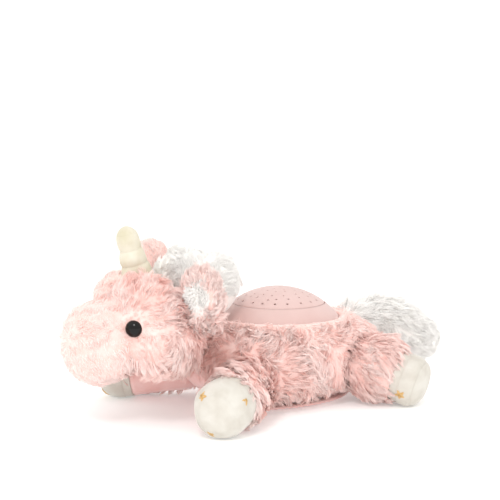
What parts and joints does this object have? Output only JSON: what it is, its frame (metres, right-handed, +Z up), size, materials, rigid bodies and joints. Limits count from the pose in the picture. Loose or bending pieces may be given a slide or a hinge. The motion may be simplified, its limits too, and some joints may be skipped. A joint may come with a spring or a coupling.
{
  "type": "plush unicorn night light",
  "caption": "Soft unicorn lying on its belly, with a pinholed plastic star dome and press buttons on its back, and a battery light unit inside behind a belly flap.",
  "frame": {"origin": "bottom centre of the toy's box, on the surface that it lies on", "axes": "+Z up, the face looks to -Y, the toy's own left side is +X, the tail is at +Y"},
  "size_m": [0.1822, 0.3295, 0.1378],
  "materials": {
    "pink_plush": "long soft pile",
    "pink_cloth": "smooth knitted cloth",
    "white_fur": "long silky pile",
    "ivory_velour": "short velour",
    "stuffing": "polyester fibre",
    "thread": "satin thread",
    "eye_plastic": "polished black",
    "dome_plastic": "semi-gloss, pale pink, slightly translucent",
    "lamp_resin": "clear resin",
    "white_plastic": "moulded",
    "rubber": "soft silicone",
    "board": "green lacquer",
    "battery_jacket": "printed steel jacket without lettering",
    "steel": "plated",
    "hook_tape": "hook and loop tape"
  },
  "bodies": {
    "torso": {"body_cover": "pink_plush", "belly_panel": "pink_cloth", "belly_loop_strip": "hook_tape", "body_stuffing": "stuffing", "projector_dome": "dome_plastic", "dome_collar": "dome_plastic", "housing_upper": "white_plastic", "housing_lower": "white_plastic", "circuit_board": "board", "amber_lamp": "lamp_resin", "green_lamp": "lamp_resin", "blue_lamp": "lamp_resin", "button_membrane": "rubber", "battery_1": "battery_jacket", "battery_2": "battery_jacket", "battery_3": "battery_jacket", "front_battery_contacts": "steel", "rear_battery_contacts": "steel", "battery_door": "white_plastic", "door_screw": "steel", "housing_screw_1": "steel", "housing_screw_2": "steel"},
    "neck": {"neck_stuffing": "stuffing"},
    "head": {"head_cover": "pink_plush", "head_stuffing": "stuffing", "left_eye": "eye_plastic", "left_eye_washer": "white_plastic", "right_eye": "eye_plastic", "right_eye_washer": "white_plastic", "horn": "ivory_velour", "horn_thread_1": "thread", "horn_thread_2": "thread", "mane": "white_fur"},
    "left_ear": {"left_ear": "pink_plush", "left_ear_lining": "ivory_velour"},
    "right_ear": {"right_ear": "pink_plush", "right_ear_lining": "ivory_velour"},
    "tail": {"tail": "white_fur"},
    "belly_flap": {"belly_flap": "pink_cloth", "flap_hook_strip": "hook_tape"},
    "power_button": {"power_button": "dome_plastic"},
    "colour_button": {"colour_button": "dome_plastic"},
    "timer_button": {"timer_button": "dome_plastic"},
    "front_left_leg": {"front_left_leg_cover": "pink_plush", "front_left_hoof": "ivory_velour", "front_left_leg_stuffing": "stuffing"},
    "front_right_leg": {"front_right_leg_cover": "pink_plush", "front_right_hoof": "ivory_velour", "front_right_leg_stuffing": "stuffing"},
    "rear_left_leg": {"rear_left_leg_cover": "pink_plush", "rear_left_hoof": "ivory_velour", "rear_left_leg_stuffing": "stuffing"},
    "rear_right_leg": {"rear_right_leg_cover": "pink_plush", "rear_right_hoof": "ivory_velour", "rear_right_leg_stuffing": "stuffing"}
  },
  "joints": [
    {"name": "head_turn", "type": "hinge", "parent": "torso", "child": "neck", "pos_m": [0, -0.076, 0.056], "axis": [0, 0, 1], "range_deg": [-9, 9]},
    {"name": "head_nod", "type": "hinge", "parent": "neck", "child": "head", "pos_m": [0, -0.076, 0.056], "axis": [1, 0, 0], "range_deg": [-5, 7]},
    {"name": "left_ear_fold", "type": "hinge", "parent": "head", "child": "left_ear", "pos_m": [0.036, -0.0895, 0.0665], "axis": [0, 1, 0], "range_deg": [-12, 32]},
    {"name": "right_ear_fold", "type": "hinge", "parent": "head", "child": "right_ear", "pos_m": [-0.033, -0.082, 0.077], "axis": [0, -1, 0], "range_deg": [-8, 55]},
    {"name": "front_left_leg_swing", "type": "hinge", "parent": "torso", "child": "front_left_leg", "pos_m": [0.043, -0.05, 0.025], "axis": [0, 0, 1], "range_deg": [-5, 15]},
    {"name": "front_right_leg_swing", "type": "hinge", "parent": "torso", "child": "front_right_leg", "pos_m": [-0.043, -0.05, 0.025], "axis": [0, 0, -1], "range_deg": [-5, 15]},
    {"name": "rear_left_leg_swing", "type": "hinge", "parent": "torso", "child": "rear_left_leg", "pos_m": [0.042, 0.053, 0.03], "axis": [0, 0, 1], "range_deg": [-10, 12]},
    {"name": "rear_right_leg_swing", "type": "hinge", "parent": "torso", "child": "rear_right_leg", "pos_m": [-0.042, 0.053, 0.03], "axis": [0, 0, -1], "range_deg": [-10, 12]},
    {"name": "tail_swing", "type": "hinge", "parent": "torso", "child": "tail", "pos_m": [0, 0.078, 0.054], "axis": [0, 0, 1], "range_deg": [-15, 15]},
    {"name": "belly_flap_open", "type": "hinge", "parent": "torso", "child": "belly_flap", "pos_m": [-0.027, 0.006, 0.0007], "axis": [0, 1, 0], "range_deg": [0, 90]},
    {"name": "power_button_press", "type": "slide", "parent": "torso", "child": "power_button", "axis": [0.6583, -0.2013, -0.7254], "range_m": [0, 0.001], "stiffness_N_per_m": 600},
    {"name": "colour_button_press", "type": "slide", "parent": "torso", "child": "colour_button", "axis": [0.6884, 0, -0.7254], "range_m": [0, 0.001], "stiffness_N_per_m": 600},
    {"name": "timer_button_press", "type": "slide", "parent": "torso", "child": "timer_button", "axis": [0.6583, 0.2013, -0.7254], "range_m": [0, 0.001], "stiffness_N_per_m": 600}
  ]
}
